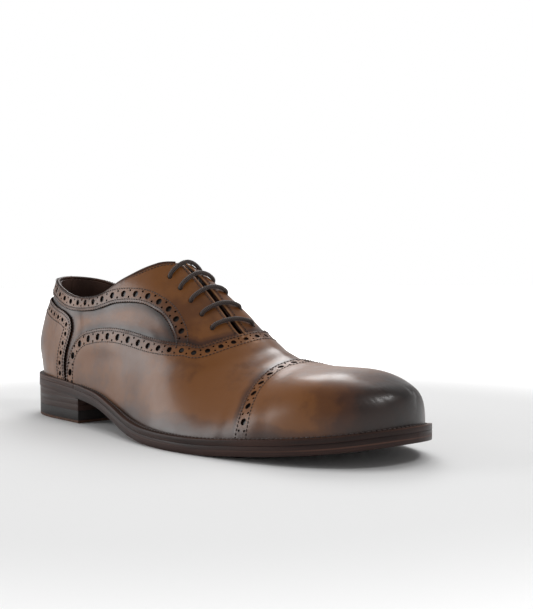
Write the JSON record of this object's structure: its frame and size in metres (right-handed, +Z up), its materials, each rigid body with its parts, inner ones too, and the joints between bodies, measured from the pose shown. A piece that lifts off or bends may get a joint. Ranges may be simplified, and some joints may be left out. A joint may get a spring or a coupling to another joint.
{
  "type": "oxford shoe",
  "caption": "Man's leather cap-toe oxford for the right foot, with brogued seams, closed lacing, hinged tongue, welted leather sole and stacked heel.",
  "frame": {"origin": "on the floor, under the middle of the shoe's bounding box", "axes": "+X towards the toe, +Y to the inner side of the foot, +Z up"},
  "size_m": [0.3074, 0.106, 0.0979],
  "materials": {
    "upper_leather": "burnished tan calf",
    "lining_leather": "dark brown smooth lining",
    "stiffener_board": "pressed fibre",
    "insole_leather": "natural split leather",
    "sole_leather": "dyed and waxed edge",
    "heel_leather": "dyed and waxed stacked lifts",
    "heel_rubber": "black rubber",
    "tread_rubber": "brown rubber",
    "cork": "ground cork",
    "spring_steel": "tempered",
    "brass": "worn brass",
    "lace_cotton": "waxed cotton"
  },
  "bodies": {
    "shoe": {"toe_cap": "upper_leather", "vamp": "upper_leather", "quarter_outer": "upper_leather", "quarter_inner": "upper_leather", "facing_outer": "upper_leather", "facing_inner": "upper_leather", "heel_counter_cover": "upper_leather", "collar_binding": "upper_leather", "vamp_lining": "lining_leather", "quarter_lining_outer": "lining_leather", "quarter_lining_inner": "lining_leather", "sock_liner": "lining_leather", "toe_puff": "stiffener_board", "heel_stiffener": "stiffener_board", "insole": "insole_leather", "insole_rib": "insole_leather", "cork_filler": "cork", "shank": "spring_steel", "welt": "sole_leather", "heel_rand": "sole_leather", "outsole": "sole_leather", "heel_lift_1": "heel_leather", "heel_lift_2": "heel_leather", "heel_lift_3": "heel_leather", "rubber_lift": "heel_rubber", "heel_tread": "tread_rubber", "heel_nails": "brass", "eyelets_outer": "brass", "eyelets_inner": "brass", "lace": "lace_cotton", "aglets": "brass"},
    "tongue": {"tongue": "upper_leather", "tongue_lining": "lining_leather"}
  },
  "joints": [
    {"name": "tongue_hinge", "type": "hinge", "parent": "shoe", "child": "tongue", "pos_m": [0.0282, 0.0054, 0.0505], "axis": [0, -1, 0], "range_deg": [0, 12], "stiffness_Nm_per_rad": 0.3}
  ]
}
